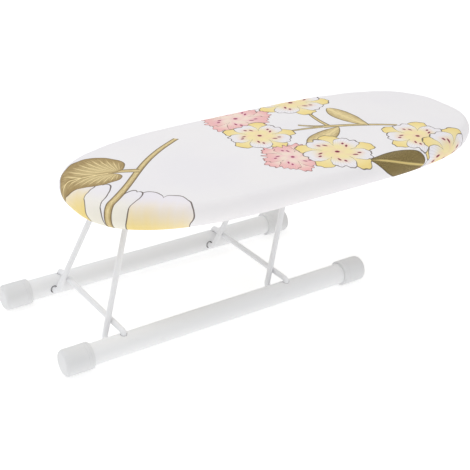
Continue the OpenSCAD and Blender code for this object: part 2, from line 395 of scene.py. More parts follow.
def make_petal():
    """One broad loose petal, pale at the tip, deep at the root, with a drawn and scalloped edge."""
    w, given, out = new_group(
        "petal",
        [("Place", VECTOR), ("Start", VECTOR), ("Turn", FLOAT), ("Length", FLOAT), ("Width", FLOAT),
         ("Tip", COLOUR), ("Root", COLOUR), ("Line", COLOUR), ("Under", COLOUR)],
        [("Colour", COLOUR), ("Place", VECTOR)])
    offset, along, side = motif_frame(w, given, "Start")
    u = w.math("DIVIDE", along, given["Length"])
    v = w.math("DIVIDE", w.math("ABSOLUTE", side), given["Width"])
    end = w.math("ABSOLUTE", w.math("SUBTRACT", w.math("MULTIPLY", u, 2.0), 1.0))
    full = w.math("SUBTRACT", 1.0, w.math("ADD", w.math("POWER", end, 2.8), w.math("POWER", v, 2.8)))
    slope_along = w.math("DIVIDE", w.math("MULTIPLY", w.math("POWER", end, 1.8), 5.6), given["Length"])
    slope_aside = w.math("DIVIDE", w.math("MULTIPLY", w.math("POWER", v, 1.8), 2.8), given["Width"])
    slope = w.math("ADD", w.vector("LENGTH", w.join(slope_along, slope_aside)), 5.0)
    wobble = w.math("SUBTRACT", w.noise(w.vector("ADD", offset, given["Start"]), 48.0, 1.0), 0.5)
    turn = w.math("ARCTAN2", w.math("DIVIDE", side, given["Width"]), w.math("SUBTRACT", u, 0.45))
    lobes = w.math("POWER", w.math("ABSOLUTE", w.math("SINE", w.math("MULTIPLY", turn, 2.2))), 0.6)
    lobes = w.math("MULTIPLY", w.math("SUBTRACT", lobes, 0.7), w.ramp(u, 0.4, 0.7, 0.0, 0.3))
    ragged = w.math("ADD", w.math("MULTIPLY", wobble, 0.3), lobes)
    scallop = w.math("MULTIPLY", ragged, given["Width"])
    edge = w.math("ADD", w.math("DIVIDE", full, slope), scallop)
    streak = w.noise(w.vector("MULTIPLY", w.join(along, side), (18.0, 160.0, 1.0)), 1.0, 2.0)
    fade = w.ramp(w.math("ADD", u, w.math("MULTIPLY", w.math("SUBTRACT", streak, 0.5), 0.12)), 0.42, 0.95)
    colour = w.mix(fade, given["Root"], given["Tip"])
    return handed_on(w, given, out, inked(w, given, colour, edge, 1.0, given["Under"]))


def make_leaf():
    """A pointed leaf: a light bent midrib, hatching that darkens to the drawn edge."""
    w, given, out = new_group(
        "leaf",
        [("Place", VECTOR), ("Start", VECTOR), ("Turn", FLOAT), ("Length", FLOAT), ("Width", FLOAT),
         ("Bend", FLOAT), ("Stipple", FLOAT), ("Light", COLOUR), ("Dark", COLOUR), ("Line", COLOUR),
         ("Under", COLOUR)],
        [("Colour", COLOUR), ("Place", VECTOR)])
    offset, along, side = motif_frame(w, given, "Start")
    u = w.math("DIVIDE", along, given["Length"])
    bow = bowed(w, u, given["Bend"])
    reach = w.math("ABSOLUTE", w.math("SUBTRACT", side, bow))
    safe = w.math("MINIMUM", w.math("MAXIMUM", u, 0.0), 1.0)
    profile = w.math("SINE", w.math("MULTIPLY", w.math("POWER", safe, 0.8), math.pi))
    profile = w.math("POWER", w.math("MAXIMUM", profile, 0.0), 0.8)
    wave = w.math("MULTIPLY", w.math("SUBTRACT", w.noise(offset, 60.0, 1.0), 0.5), 0.2)
    half = w.math("MULTIPLY", w.math("MULTIPLY", profile, w.math("ADD", 1.0, wave)), given["Width"])
    edge = w.math("SUBTRACT", half, reach)
    within = w.math("MULTIPLY", w.math("GREATER_THAN", u, 0.0), w.math("LESS_THAN", u, 1.0))
    colour = leaf_colour(w, given, u, along, reach, half)
    return handed_on(w, given, out, inked(w, given, colour, edge, within, given["Under"]))


def leaf_colour(w, given, u, along, reach, half):
    """Streaked tones from a light midrib to dark margins, or a dense stipple."""
    share = w.math("MINIMUM", w.math("DIVIDE", reach, w.math("MAXIMUM", half, 0.0005)), 1.0)
    streak = w.noise(w.vector("MULTIPLY", w.join(along, reach), (130.0, 900.0, 1.0)), 1.0, 2.0)
    grain = w.noise(w.join(along, reach), 1300.0, 2.0)
    rib = w.math("MULTIPLY", w.ramp(reach, 0.0005, 0.0017, 1.0, 0.0), w.ramp(u, 1.0, 0.8))
    margin = w.math("MULTIPLY", w.math("POWER", share, 2.2), 0.6)
    tone = w.math("ADD", margin, w.math("MULTIPLY", w.ramp(streak, 0.35, 0.65), 0.35))
    tone = w.mix(given["Stipple"], w.join(tone, 0.0), w.join(w.ramp(grain, 0.30, 0.60, 0.45, 1.0), 0.0))
    tone = w.math("MINIMUM", w.parts(tone)[0], 1.0)
    return w.mix(rib, w.mix(tone, given["Light"], given["Dark"]), given["Light"])


def make_heart_leaf():
    """A broad heart-shaped leaf, fuller on one side, lobed behind the stalk."""
    w, given, out = new_group(
        "heart leaf",
        [("Place", VECTOR), ("Start", VECTOR), ("Turn", FLOAT), ("Length", FLOAT), ("Lean", FLOAT),
         ("Light", COLOUR), ("Dark", COLOUR), ("Line", COLOUR), ("Under", COLOUR)],
        [("Colour", COLOUR), ("Place", VECTOR)])
    offset, along, side = motif_frame(w, given, "Start")
    ahead = w.math("MAXIMUM", w.math("DIVIDE", along, given["Length"]), 0.0)
    side = w.math("SUBTRACT", side, w.math("MULTIPLY", w.math("POWER", ahead, 2.0), 0.012))
    lean = w.math("ADD", 1.0, w.math("MULTIPLY", w.math("GREATER_THAN", side, 0.0), given["Lean"]))
    reach = w.math("MULTIPLY", w.math("ABSOLUTE", side), lean)
    r = w.vector("LENGTH", w.join(along, reach))
    half_turn = w.math("MULTIPLY", w.math("ARCTAN2", reach, along), 0.5)
    lobe = w.math("ADD", 0.62, w.math("MULTIPLY", w.math("GREATER_THAN", side, 0.0), 0.55))
    shape = w.math("POWER", w.math("MAXIMUM", w.math("COSINE", half_turn), 0.0001), lobe)
    point = w.math("MULTIPLY", w.ramp(half_turn, 0.0, 0.16, 1.0, 0.0), 0.14)
    wave = w.math("MULTIPLY", w.math("SUBTRACT", w.noise(offset, 45.0, 1.0), 0.5), 0.16)
    limit = w.math("MULTIPLY", w.math("ADD", w.math("ADD", shape, point), wave), given["Length"])
    edge = w.math("SUBTRACT", limit, r)
    u = w.math("DIVIDE", r, w.math("MAXIMUM", limit, 0.001))
    fan = w.math("MULTIPLY", w.math("ARCTAN2", reach, w.math("ADD", along, 0.012)), 0.03)
    spread = w.math("ADD", w.math("MULTIPLY", along, 0.45), w.math("MULTIPLY", fan, -1.0))
    comb = w.math("ABSOLUTE", w.math("SUBTRACT", w.math("FRACT", w.math("DIVIDE", spread, 0.0078)), 0.5))
    vein = w.math("MULTIPLY", w.ramp(u, 0.95, 0.6), w.ramp(u, 0.0, 0.2))
    vein = w.math("MULTIPLY", w.math("SUBTRACT", 1.0, w.ramp(comb, 0.05, 0.16)), vein)
    rib = w.math("MULTIPLY", w.ramp(reach, 0.0007, 0.0015, 1.0, 0.0), w.math("GREATER_THAN", along, -0.001))
    hatch = w.noise(w.vector("MULTIPLY", w.join(spread, r), (2200.0, 120.0, 1.0)), 1.0, 2.0)
    tone = w.math("ADD", w.math("MULTIPLY", w.math("POWER", w.math("MINIMUM", u, 1.0), 2.0), 0.75),
                  w.math("MULTIPLY", w.ramp(hatch, 0.35, 0.65), 0.5))
    tone = w.math("MINIMUM", w.math("ADD", tone, w.ramp(reach, 0.006, 0.0014, 0.12, 0.5)), 1.0)
    colour = w.mix(tone, given["Light"], given["Dark"])
    colour = w.mix(w.math("MAXIMUM", vein, rib), colour, given["Light"])
    return handed_on(w, given, out, inked(w, given, colour, edge, 1.0, given["Under"]))


def make_stem():
    """A bent, swaying and tapering stem with shaded edges and a fine grain."""
    w, given, out = new_group(
        "stem",
        [("Place", VECTOR), ("Start", VECTOR), ("Turn", FLOAT), ("Length", FLOAT), ("Bend", FLOAT),
         ("Sway", FLOAT), ("Thick", FLOAT), ("Thin", FLOAT), ("Light", COLOUR), ("Dark", COLOUR),
         ("Line", COLOUR), ("Under", COLOUR)],
        [("Colour", COLOUR), ("Place", VECTOR)])
    _, along, side = motif_frame(w, given, "Start")
    u = w.math("DIVIDE", along, given["Length"])
    bow = bowed(w, u, given["Bend"])
    bow = w.math("ADD", bow, w.math("MULTIPLY", w.math("SINE", w.math("MULTIPLY", u, TAU)), given["Sway"]))
    beside = w.math("SUBTRACT", side, bow)
    reach = w.math("ABSOLUTE", beside)
    taper = w.math("MULTIPLY", u, w.math("SUBTRACT", given["Thin"], given["Thick"]))
    half = w.math("ADD", given["Thick"], taper)
    within = w.math("MULTIPLY", w.math("GREATER_THAN", u, 0.0), w.math("LESS_THAN", u, 1.0))
    lit = w.math("DIVIDE", w.math("SUBTRACT", beside, w.math("MULTIPLY", half, 0.15)), half)
    grain = w.noise(w.vector("MULTIPLY", w.join(along, side), (140.0, 1700.0, 1.0)), 1.0, 2.0)
    rounded = w.math("POWER", w.math("MINIMUM", w.math("ABSOLUTE", lit), 1.0), 1.3)
    tone = w.math("ADD", w.math("MULTIPLY", rounded, 0.7), w.math("MULTIPLY", w.ramp(grain, 0.4, 0.6), 0.35))
    colour = w.mix(w.math("MINIMUM", tone, 1.0), given["Light"], given["Dark"])
    edge = w.math("SUBTRACT", half, reach)
    return handed_on(w, given, out, inked(w, given, colour, edge, within, given["Under"]))


COTTON = srgb(249, 247, 248)
INK = srgb(98, 84, 78)
GOLD = {"Light": srgb(246, 226, 168), "Dark": srgb(166, 140, 90), "Line": srgb(122, 104, 72)}
OLIVE = {"Light": srgb(222, 200, 130), "Dark": srgb(104, 86, 46), "Line": srgb(92, 78, 46)}
PRIMROSE = {"Tip": srgb(249, 246, 249), "Heart": srgb(254, 238, 180), "Back": srgb(252, 228, 148),
            "Line": INK, "Dot": srgb(140, 34, 68), "Flush": srgb(252, 206, 196), "Frill": 0.04}
ROSE = {"Tip": srgb(251, 198, 196), "Heart": srgb(253, 232, 216), "Back": srgb(250, 190, 190),
        "Line": srgb(146, 104, 98), "Dot": srgb(164, 44, 98), "Flush": srgb(248, 170, 196), "Frill": 0.16}
LOOSE = {"Tip": srgb(248, 244, 249), "Root": srgb(252, 228, 146), "Line": INK}
PALE = {"Tip": srgb(249, 246, 250), "Root": srgb(250, 246, 230), "Line": INK}

# Each kind of motif: its node group, the name of the socket for its place, and those for its sizes.
MOTIFS = {
    "blossom": (make_blossom(), "Centre", ("Radius",)),
    "petal": (make_petal(), "Start", ("Length", "Width")),
    "leaf": (make_leaf(), "Start", ("Length", "Width", "Bend")),
    "heart_leaf": (make_heart_leaf(), "Start", ("Length",)),
    "stem": (make_stem(), "Start", ("Length", "Bend", "Sway", "Thick", "Thin")),
}
# The spray as it lies on the flat cloth, lowest layer first, in millimetres and degrees. Each motif
# has its look, its place, the way it points, and its own sizes in the order that MOTIFS gives.
SPRAY = [
    ("petal", PALE, -262, -72, 42, 100, 13),
    ("petal", LOOSE, -270, -34, 38, 88, 24),
    ("petal", LOOSE, -222, -132, 46, 104, 36),
    ("petal", PALE, -236, -78, 31, 80, 10),
    ("stem", GOLD, -236, -68, 37, 210, 1, -4, 3.8, 2.7),
    ("stem", GOLD, -143, 4, 155, 34, -1, 0, 3.6, 2.8),
    ("heart_leaf", GOLD | {"Lean": 0.6}, -173, 15, 163, 52),
    ("stem", GOLD, 95, 1, 83, 46, 2, 0, 2.4, 1.6),
    ("stem", GOLD, 98, 1, 146, 38, 2, 0, 2.2, 1.3),
    ("stem", GOLD, 98, 1, 167, 50, -1, 0, 2.2, 1.3),
    ("stem", GOLD, 88, 4, -26, 84, 3, 0, 3.2, 1.5),
    ("leaf", GOLD, 130, 50, -86, 68, 12, -3),
    ("leaf", GOLD, 44, -26, 20, 62, 12, -3),
    ("blossom", ROSE, 130, -142, 20, 32),
    ("leaf", OLIVE | {"Stipple": 1.0}, 150, -113, 165, 80, 17, 2),
    ("blossom", PRIMROSE, 106, 90, 10, 47),
    ("blossom", ROSE, 20, 77, 30, 43),
    ("blossom", PRIMROSE, 12, 18, 24, 40),
    ("blossom", ROSE, 8, -47, 10, 35),
    ("blossom", PRIMROSE, 57, -59, 31, 44),
    ("blossom", PRIMROSE, 162, -68, 13, 41),
    ("blossom", PRIMROSE, 192, -110, 31, 47),
]


def print_colour(w, cloth):
    """The printed cotton's colour: each motif is laid over the one before."""
    colour, place = COTTON, cloth
    for kind, look, x, y, turn, *sizes in SPRAY:
        tree, start, names = MOTIFS[kind]
        node = w.group(tree, Place=place, Turn=math.radians(turn), Under=colour)
        w.put(node.inputs[start], (x * MM, y * MM, 0))
        for name, size in zip(names, sizes):
            w.put(node.inputs[name], size * MM)
        for name, value in look.items():
            w.put(node.inputs[name], value)
        colour, place = node.outputs["Colour"], node.outputs["Place"]
    return colour


# ---------------------------------------------------------------- materials

# Radii of the near-black rings round the tubes' holes, where the coat is chipped and shade is painted, the
# coat's thickness, and the width of the chips at the rings' edge.
PIVOT_HOLE = 0.0038
BAR_HOLE = 0.0030
COAT_THICK = 0.0003
CHIP_WIDTH = 0.0003


def printed_cotton():
    """Cover: white cotton with a printed spray of blossoms, plain weave and soft creases."""
    material, w, shader = new_material("printed cotton")
    cloth = w.node("ShaderNodeUVMap", uv_map="cloth").outputs[0]
    place = object_place(w)
    weave = w.group(WEAVE, Place=cloth, Pitch=0.0005, Slub=0.5)
    tint = w.mix(w.ramp(w.noise(place, 9.0, 2.0), 0.35, 0.65), srgb(255, 254, 254), srgb(252, 251, 253))
    colour = w.mix(1.0, print_colour(w, cloth), tint, blend="MULTIPLY")
    shade = w.math("ADD", w.math("MULTIPLY", weave.outputs["Shade"], 0.35), 0.65)
    colour = w.mix(1.0, colour, w.join(shade, shade, shade), blend="MULTIPLY")
    w.put(shader.inputs["Base Color"], colour)
    shader.inputs["Roughness"].default_value = 0.82
    shader.inputs["Specular IOR Level"].default_value = 0.25
    shader.inputs["Sheen Weight"].default_value = 0.08
    shader.inputs["Sheen Roughness"].default_value = 0.6
    crease = w.noise(place, 38.0, 2.0)
    normal = bump(w, crease, 0.0006, 0.25)
    w.put(shader.inputs["Normal"], bump(w, weave.outputs["Height"], 0.00012, 0.5, normal))
    return material


def painted_bore_shade_and_chips(w, place):
    """1 where the foot tubes are painted near-black: in the bore, as painted shade, and in a chipped ring
    round each hole for a wire, as wear and painted shade.
    """
    tube_low, tube_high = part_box("foot_tube_rear")
    middle, radius = (tube_low + tube_high) / 2, (tube_high.z - tube_low.z) / 2
    x, y, z = w.parts(place)
    aside = w.math("SUBTRACT", w.math("ABSOLUTE", y), middle.y)
    above = w.math("SUBTRACT", z, middle.z)
    # The bore: painted shade, near-black inside the tube.
    shade_and_chip_mask = w.math("LESS_THAN", w.vector("LENGTH", w.join(aside, above)), radius - COAT_THICK)
    ragged = w.math("MULTIPLY", w.noise(place, 900.0, 2.0), CHIP_WIDTH * 2)
    for side in ("left", "right"):
        bar_low, bar_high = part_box(f"cross_bar_{side}")
        bar_x, wire_radius = (bar_low.x + bar_high.x) / 2, (bar_high.x - bar_low.x) / 2
        pivot_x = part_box(f"leg_wire_{side}")[0].x + wire_radius
        holes = ((pivot_x, above, w.math("LESS_THAN", aside, 0.0), PIVOT_HOLE),
                 (bar_x, aside, w.math("GREATER_THAN", above, 0.0), BAR_HOLE))
        for hole_x, spread, facing, hole_radius in holes:
            reach = w.vector("LENGTH", w.join(w.math("SUBTRACT", x, hole_x), spread))
            # A chipped ring round each hole: wear, and painted shade in the same near-black.
            chip_and_shade_ring = w.math("LESS_THAN", w.math("ADD", reach, ragged), hole_radius + CHIP_WIDTH * 2)
            shade_and_chip_mask = w.math("MAXIMUM", shade_and_chip_mask, w.math("MULTIPLY", chip_and_shade_ring, facing))
    return shade_and_chip_mask


def coated_steel(name, white, gloss, hollow=False):
    """White powder coat on a tube or a wire. A tube's bore and the chipped rings round its holes are painted
    near-black, as painted shade.
    """
    material, w, shader = new_material(name)
    place = object_place(w)
    coat = w.group(POWDER_COAT, Place=place, Colour=white, Rub=srgb(206, 205, 204), Gloss=gloss)
    colour, rough = coat.outputs["Colour"], coat.outputs["Roughness"]
    if hollow:
        shade_and_chip_mask = painted_bore_shade_and_chips(w, place)
        # Painted shade: the bore and the chipped rings take a near-black that stands in for the shade in the
        # holes.
        colour = w.mix(shade_and_chip_mask, colour, srgb(44, 42, 41))
        rough = w.math("MAXIMUM", rough, w.math("MULTIPLY", shade_and_chip_mask, 0.7))
    w.put(shader.inputs["Base Color"], colour)
    w.put(shader.inputs["Roughness"], rough)
    w.put(shader.inputs["Normal"], bump(w, coat.outputs["Height"], 0.00005, 0.5))
    shader.inputs["Specular IOR Level"].default_value = 0.45
    return material


def moulded_plastic():
    """Foot caps: white moulded plastic, faintly waxy, with a fine moulding texture, darker in patches towards
    the bottom.
    """
    material, w, shader = new_material("white moulded plastic")
    place = object_place(w)
    _, _, z = w.parts(place)
    # Darker in noisy patches within 3.5 mm of the bottom.
    low_darkening = w.math("MULTIPLY", w.ramp(z, 0.0035, 0.0, 0.0, 1.0), w.ramp(w.noise(place, 500.0, 4.0), 0.4, 0.7))
    colour = w.mix(w.math("MULTIPLY", low_darkening, 0.2), srgb(226, 226, 227), srgb(196, 194, 190))
    w.put(shader.inputs["Base Color"], colour)
    w.put(shader.inputs["Roughness"], w.ramp(w.noise(place, 60.0, 3.0), 0.3, 0.7, 0.32, 0.46))
    w.put(shader.inputs["Normal"], bump(w, w.noise(place, 1600.0, 2.0), 0.00004, 0.4))
    shader.inputs["Subsurface Weight"].default_value = 0.08
    shader.inputs["Subsurface Radius"].default_value = (0.004, 0.004, 0.004)
    return material


def zinc_plate(name, light, dark):
    material, w, shader = new_material(name)
    zinc = w.group(BRIGHT_ZINC, Place=object_place(w), Light=light, Dark=dark)
    w.put(shader.inputs["Base Color"], zinc.outputs["Colour"])
    w.put(shader.inputs["Roughness"], zinc.outputs["Roughness"])
    w.put(shader.inputs["Normal"], bump(w, zinc.outputs["Height"], 0.00002, 0.4))
    shader.inputs["Metallic"].default_value = 1.0
    return material


def primed_fibreboard():
    """Panel: pressed wood fibres under a thin white primer, through which the flecks show."""
    material, w, shader = new_material("white primed fibreboard")
    place = object_place(w)
    fleck = w.noise(w.vector("MULTIPLY", place, (380.0, 700.0, 700.0)), 1.0, 4.0, 0.6)
    cloud = w.noise(place, 16.0, 3.0)
    colour = w.mix(w.ramp(fleck, 0.30, 0.52), srgb(220, 215, 206), srgb(233, 232, 229))
    colour = w.mix(w.math("MULTIPLY", w.ramp(cloud, 0.3, 0.7), 0.25), colour, srgb(224, 220, 212))
    w.put(shader.inputs["Base Color"], colour)
    w.put(shader.inputs["Roughness"], w.ramp(fleck, 0.3, 0.7, 0.62, 0.82))
    w.put(shader.inputs["Normal"], bump(w, fleck, 0.0001, 0.5))
    return material


def sponge():
    """Pad: cream open-cell foam, the pits of its cells painted darker as painted shade."""
    material, w, shader = new_material("open cell sponge")
    place = object_place(w)
    cells = w.node("ShaderNodeTexVoronoi")
    w.put(cells.inputs["Vector"], place)
    cells.inputs["Scale"].default_value = 900
    pore_depth_and_shade = w.ramp(cells.outputs["Distance"], 0.1, 0.6)
    # Painted shade: the pits of the cells are a darker cream.
    w.put(shader.inputs["Base Color"], w.mix(pore_depth_and_shade, srgb(214, 202, 160), srgb(246, 238, 208)))
    w.put(shader.inputs["Roughness"], w.ramp(pore_depth_and_shade, 0.0, 1.0, 0.95, 0.85))
    w.put(shader.inputs["Normal"], bump(w, pore_depth_and_shade, 0.0004, 0.7))
    return material


def sewing_thread():
    """Hem stitches: white twisted polyester thread, painted grey in the grooves of its twist as painted
    shade.
    """
    material, w, shader = new_material("white sewing thread")
    twist = w.node("ShaderNodeTexWave", bands_direction="DIAGONAL")
    w.put(twist.inputs["Vector"], object_place(w))
    twist.inputs["Scale"].default_value = 900
    twist.inputs["Distortion"].default_value = 1.5
    # Painted shade: the grooves of the twist are grey.
    w.put(shader.inputs["Base Color"], w.mix(twist.outputs["Fac"], srgb(206, 204, 206), srgb(250, 250, 250)))
    w.put(shader.inputs["Roughness"], w.ramp(twist.outputs["Fac"], 0.0, 1.0, 0.7, 0.5))
    w.put(shader.inputs["Normal"], bump(w, twist.outputs["Fac"], 0.0001, 0.6))
    return material


def braided_elastic():
    """Hem elastic: ribbed band with a zigzag of sewing thread; the grooves of its ribbing are painted darker
    as painted shade.
    """
    rib_pitch, pick_pitch, zigzag_width, thread_half = 0.0006, 0.0009, 0.0012, 0.00022
    material, w, shader = new_material("braided elastic")
    along, across, _ = w.parts(w.node("ShaderNodeUVMap", uv_map="band").outputs[0])
    rib = w.math("SINE", w.math("MULTIPLY", across, TAU / rib_pitch))
    pick = w.math("SINE", w.math("MULTIPLY", along, TAU / pick_pitch))
    height = w.math("ADD", w.math("MULTIPLY", rib, 0.6), w.math("MULTIPLY", pick, 0.4))
    zigzag = w.math("PINGPONG", w.math("MULTIPLY", along, 0.7), zigzag_width)
    beside = w.math("SUBTRACT", zigzag, w.math("SUBTRACT", across, zigzag_width / 2))
    thread = w.math("LESS_THAN", w.math("ABSOLUTE", beside), thread_half)
    # Painted shade: the low parts of the ribbing are a darker beige.
    colour = w.mix(w.ramp(height, -1.0, 1.0), srgb(214, 209, 200), srgb(240, 237, 230))
    w.put(shader.inputs["Base Color"], w.mix(thread, colour, srgb(250, 250, 250)))
    w.put(shader.inputs["Roughness"], w.ramp(height, -1.0, 1.0, 0.9, 0.75))
    raised = w.math("ADD", height, w.math("MULTIPLY", thread, 2.0))
    w.put(shader.inputs["Normal"], bump(w, raised, 0.00015, 0.7))
    return material


MATERIALS = {
    "tube_paint": coated_steel("white tube coat", srgb(240, 240, 241), 0.30, hollow=True),
    "wire_paint": coated_steel("white wire coat", srgb(240, 240, 242), 0.28),
    "cap_plastic": moulded_plastic(),
    "clip_steel": zinc_plate("zinc plated clip", srgb(228, 228, 229), srgb(204, 205, 207)),
    "screw_steel": zinc_plate("zinc plated screw", srgb(214, 214, 216), srgb(182, 183, 187)),
    "panel_board": primed_fibreboard(),
}


def dress_frame():
    """Gives each hard piece its finish, and rounds its shading: it is welded, then split at its edges."""
    slots = {part["node"]: part["material_slot"] for part in frame["record"]["subparts"]}
    for name, node in frame["nodes"].items():
        material = MATERIALS.get(slots[name])
        if material is None:
            continue
        node.data.materials.clear()
        node.data.materials.append(material)
        node.data.polygons.foreach_set("use_smooth", [True] * len(node.data.polygons))
        weld = node.modifiers.new("weld", "WELD")
        weld.merge_threshold = 0.00002
        split = node.modifiers.new("crisp edges", "EDGE_SPLIT")
        split.split_angle = math.radians(32)


dress_frame()


# ---------------------------------------------------------------- the board's outline

COVER_LOW, COVER_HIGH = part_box("cover")
PANEL_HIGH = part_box("board_panel")[1]
MIDDLE_X = (COVER_LOW.x + COVER_HIGH.x) / 2
HALF_LENGTH = (COVER_HIGH.x - COVER_LOW.x) / 2
HALF_WIDTH = (COVER_HIGH.y - COVER_LOW.y) / 2
TOP_Z, UNDER_Z = COVER_HIGH.z, COVER_LOW.z
MIDDLE_Z = (TOP_Z + UNDER_Z) / 2
END_LENGTH = 0.199
END_POWER = 2.6
RIM_INSET = 0.009
HEM_WIDTH = 0.025
AROUND = 480


def fine_outline(inset):
    """The outline drawn in by inset, as many points from the nose's tip and round by the rear."""
    steps = np.linspace(0, math.pi / 2, 1501)
    cosine = np.clip(np.cos(steps), 0, 1) ** (2 / END_POWER)
    sine = np.clip(np.sin(steps), 0, 1) ** (2 / END_POWER)
    straight = HALF_LENGTH - END_LENGTH
    end = np.column_stack([straight + (END_LENGTH - inset) * cosine, (HALF_WIDTH - inset) * sine])
    run = np.linspace(straight, -straight, 201)[1:-1]
    rear = np.column_stack([run, np.full_like(run, HALF_WIDTH - inset)])
    half = np.concatenate([end, rear, (end * (-1, 1))[::-1]])
    return np.concatenate([half, (half * (1, -1))[-2::-1]])


def even_steps(count):
    """Steps along the fine outline, evenly spaced on the outer edge: (steps, places, the edge's length)."""
    points = fine_outline(0)
    length = np.concatenate([[0], np.cumsum(np.linalg.norm(np.diff(points, axis=0), axis=1))])
    wanted = np.arange(count) * length[-1] / count
    return np.interp(wanted, length, np.arange(len(points))), wanted, length[-1]


STEPS, EDGE_PLACE, EDGE_LENGTH = even_steps(AROUND)


def outline(inset, steps=STEPS):
    """The board's outline drawn in by inset, with a point at each step."""
    points = fine_outline(inset)
    index = np.arange(len(points))
    x, y = (np.interp(steps, index, points[:, axis]) for axis in (0, 1))
    return np.stack([MIDDLE_X + x, y], 1)


def rim_rows(depth, count, low=-90):
    """Rows over the rounded rim from top to bottom, set in by a layer's depth: (inset, height)."""
    angles = np.radians(np.linspace(90, low, count))
    half = TOP_Z - MIDDLE_Z - depth
    return [(depth + RIM_INSET * (1 - math.cos(a)), MIDDLE_Z + half * math.sin(a)) for a in angles]


def row_points(rows, steps):
    """The points of every row, one row after another."""
    return np.concatenate([np.column_stack([outline(inset, steps), np.full(len(steps), height)])
                           for inset, height in rows])


def row_faces(rows, count, closed_ring=False):
    """Quads between rows of points. A row drawn in to the middle line shares its points across it."""
    def point(j, i):
        i %= count
        if rows[j][0] >= HALF_WIDTH:
            i = min(i, count - i)
        return j * count + i

    faces = []
    for j in range(len(rows) if closed_ring else len(rows) - 1):
        k = (j + 1) % len(rows)
        faces += [(point(j, i), point(k, i), point(k, i + 1), point(j, i + 1)) for i in range(count)]
    return faces


def new_mesh(name, points, faces):
    mesh = bpy.data.meshes.new(name)
    mesh.from_pydata(points.tolist(), [], faces)
    return mesh


def add_uv(mesh, name, flat):
    """A UV map in metres from one flat place for each point."""
    layer = mesh.uv_layers.new(name=name)
    corners = np.empty(len(mesh.loops), int)
    mesh.loops.foreach_get("vertex_index", corners)
    layer.data.foreach_set("uv", flat[corners].ravel())


def finished(name, mesh):
    piece = bpy.data.objects.new(name, mesh)
    bpy.context.scene.collection.objects.link(piece)
    return piece


def only(piece):
    bpy.ops.object.select_all(action="DESELECT")
    piece.select_set(True)
    bpy.context.view_layer.objects.active = piece


def apply_modifier(piece, kind, **settings):
    only(piece)
    modifier = piece.modifiers.new(kind.lower(), kind)
    for name, value in settings.items():
        setattr(modifier, name, value)
    bpy.ops.object.modifier_apply(modifier=modifier.name)


def clean(piece, smooth_angle=180):
    """Drops the points that no face uses, turns every face outwards and smooths the shading."""
    only(piece)
    bpy.ops.object.mode_set(mode="EDIT")
    bpy.ops.mesh.select_all(action="SELECT")
    bpy.ops.mesh.delete_loose(use_verts=True, use_edges=False, use_faces=False)
    bpy.ops.mesh.select_all(action="SELECT")
    bpy.ops.mesh.normals_make_consistent(inside=False)
    bpy.ops.object.mode_set(mode="OBJECT")
    bpy.ops.object.shade_smooth_by_angle(angle=math.radians(smooth_angle))


# ---------------------------------------------------------------- cover

TOP_INSETS = [HALF_WIDTH, 0.096, 0.088, 0.080, 0.072, 0.064, 0.056, 0.048,
              0.041, 0.034, 0.028, 0.022, 0.0175, 0.0135, 0.011]
HEM_INSETS = [0.0115, 0.0135, 0.0155, 0.0175, 0.0188, 0.0198,
              0.0208, 0.0218, 0.0228, 0.0236, 0.0243, HEM_WIDTH]
STITCH_INSET = 0.0188
HEM_ROLL = 0.0012
COTTON_THICK = 0.0007
CROWN = 0.0022
SIM_EVERY = 3
SIM_FRAMES = 20

# The gathers start this far in under the rim. At the hem's edge, a fold drops and swings outwards by so much.
GATHER_START = 0.004
FOLD_DROP = 0.0023
FOLD_SWING = 0.0009


def cover_rows():
    """Rows from the middle of the top, over the rim and in under the board to the rolled hem."""
    top = [(inset, TOP_Z) for inset in TOP_INSETS]
    hem = []
    for inset in HEM_INSETS:
        across = np.clip((inset - STITCH_INSET) / (HEM_WIDTH - STITCH_INSET), 0, 1)
        hem.append((inset, UNDER_Z - HEM_ROLL * math.sin(math.pi * across) ** 0.7))
    return top, rim_rows(0, 17), hem


def blown_up(rows, held_from):
    """How the foam inside pushes the cover out, by cloth simulation on every few columns of points."""
    steps = STEPS[::SIM_EVERY]
    points = row_points(rows, steps)
    blank = finished("cover blank", new_mesh("cover blank", points, row_faces(rows, len(steps))))
    group = blank.vertex_groups.new(name="held")
    group.add(list(range(held_from * len(steps), len(points))), 1.0, "ADD")
    cloth = blank.modifiers.new("cloth", "CLOTH")
    settings = cloth.settings
    settings.quality = 4
    settings.mass = 0.2
    settings.tension_stiffness = 25
    settings.compression_stiffness = 8
    settings.shear_stiffness = 8
    settings.bending_stiffness = 0.6
    settings.use_pressure = True
    settings.uniform_pressure_force = 4
    settings.vertex_group_mass = "held"
    settings.pin_stiffness = 1
    settings.effector_weights.gravity = 0
    cloth.collision_settings.use_collision = False
    for step in range(1, SIM_FRAMES + 1):
        bpy.context.scene.frame_set(step)
    shown = blank.evaluated_get(bpy.context.evaluated_depsgraph_get())
    result = np.empty(len(points) * 3)
    shown.data.vertices.foreach_get("co", result)
    bpy.context.scene.frame_set(1)
    bpy.data.objects.remove(blank)
    return (result.reshape(-1, 3) - points).reshape(len(rows), len(steps), 3)


def crowned(points, rows, held_from):
    """The cover's points with a soft crown on top, from the simulation, as high as the foam allows."""
    # The underside is closed for the simulation, so that the pressure has a volume to fill.
    closing = [(inset, UNDER_Z) for inset in (0.035, 0.055, 0.08, HALF_WIDTH)]
    moved = blown_up(rows + closing, held_from)[: len(rows)]
    moved *= CROWN / np.linalg.norm(moved, axis=2).max()
    places = np.arange(AROUND) / SIM_EVERY
    around = np.arange(moved.shape[1] + 1)
    closed = np.concatenate([moved, moved[:, :1]], axis=1)
    spread = [[np.interp(places, around, row[:, axis]) for axis in range(3)] for row in closed]
    return points + np.array(spread).transpose(0, 2, 1).reshape(-1, 3)


